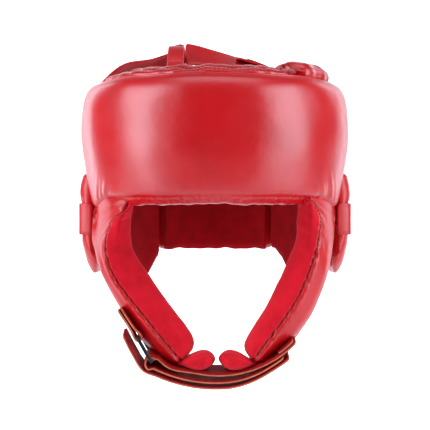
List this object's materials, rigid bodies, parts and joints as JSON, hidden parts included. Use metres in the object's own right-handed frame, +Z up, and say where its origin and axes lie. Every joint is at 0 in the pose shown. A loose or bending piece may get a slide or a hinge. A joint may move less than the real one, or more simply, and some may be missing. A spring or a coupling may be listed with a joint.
{
  "type": "boxing headgear",
  "caption": "Padded open-face boxing headgear: wraparound forehead pad, cheek arms meeting at the chin, ear pads, strapped crown and a hook-and-loop chin strap through a metal ring.",
  "frame": {"origin": "middle of the head oval at eye level, inside the padding", "axes": "+Z up through the crown, -Y out of the face opening, +X to the right of someone looking into the face opening"},
  "size_m": [0.2339, 0.2621, 0.2746],
  "materials": {
    "cover_leather": "smooth, semi-gloss coated leather",
    "strap_leather": "smooth face, raw tan edges",
    "lining_velour": "short soft nap",
    "pad_foam": "closed-cell padding, soft",
    "hook_and_loop": "fuzzy hook and loop tape",
    "coated_metal": "black coated wire"
  },
  "bodies": {
    "headgear": {"back_cover": "cover_leather", "back_foam": "pad_foam", "back_lining": "lining_velour", "cheek_cover_left": "cover_leather", "cheek_cover_right": "cover_leather", "cheek_foam_left": "pad_foam", "cheek_foam_right": "pad_foam", "cheek_lining_left": "lining_velour", "cheek_lining_right": "lining_velour", "chin_hook_tape": "hook_and_loop", "chin_lobe_left": "lining_velour", "chin_lobe_right": "lining_velour", "chin_ring_tab": "strap_leather", "chin_strap": "strap_leather", "chin_strap_patch": "strap_leather", "crown_front_flap": "cover_leather", "crown_keeper": "cover_leather", "crown_long_front": "cover_leather", "crown_long_rear": "cover_leather", "crown_loop_tape": "hook_and_loop", "crown_rear_flap": "cover_leather", "crown_right_roll": "cover_leather", "crown_strap_left": "strap_leather", "crown_strap_right": "strap_leather", "ear_cover_left": "cover_leather", "ear_cover_right": "cover_leather", "ear_foam_left": "pad_foam", "ear_foam_right": "pad_foam", "forehead_cover": "cover_leather", "forehead_foam": "pad_foam", "forehead_lining": "lining_velour", "rear_loop_tape": "hook_and_loop", "rear_strap_left": "strap_leather", "rear_strap_right": "strap_leather", "side_cover_left": "cover_leather", "side_cover_right": "cover_leather", "side_foam_left": "pad_foam", "side_foam_right": "pad_foam", "side_lining_left": "lining_velour", "side_lining_right": "lining_velour"},
    "chin_ring": {"chin_ring": "coated_metal"},
    "chin_tail": {"chin_tail": "strap_leather", "chin_loop_tape": "hook_and_loop"},
    "rear_tail": {"rear_strap_tail": "strap_leather", "rear_hook_tape": "hook_and_loop"},
    "crown_tail": {"crown_strap_end": "strap_leather", "crown_hook_tape": "hook_and_loop"}
  },
  "joints": [
    {"name": "ring_swing", "type": "hinge", "parent": "headgear", "child": "chin_ring", "pos_m": [-0.05916, -0.0755, -0.09402], "axis": [0, 1, 0], "range_deg": [-4, 4]},
    {"name": "chin_tail_peel", "type": "hinge", "parent": "headgear", "child": "chin_tail", "pos_m": [0.06125, -0.0755, -0.11609], "axis": [0, -1, 0], "range_deg": [0, 70]},
    {"name": "rear_tail_peel", "type": "hinge", "parent": "headgear", "child": "rear_tail", "pos_m": [0.11614, 0.04596, -0.0035], "axis": [0, 0, -1], "range_deg": [0, 55]},
    {"name": "crown_tail_peel", "type": "hinge", "parent": "headgear", "child": "crown_tail", "pos_m": [-0.02158, 0, 0.13626], "axis": [0, -1, 0], "range_deg": [0, 70]}
  ]
}
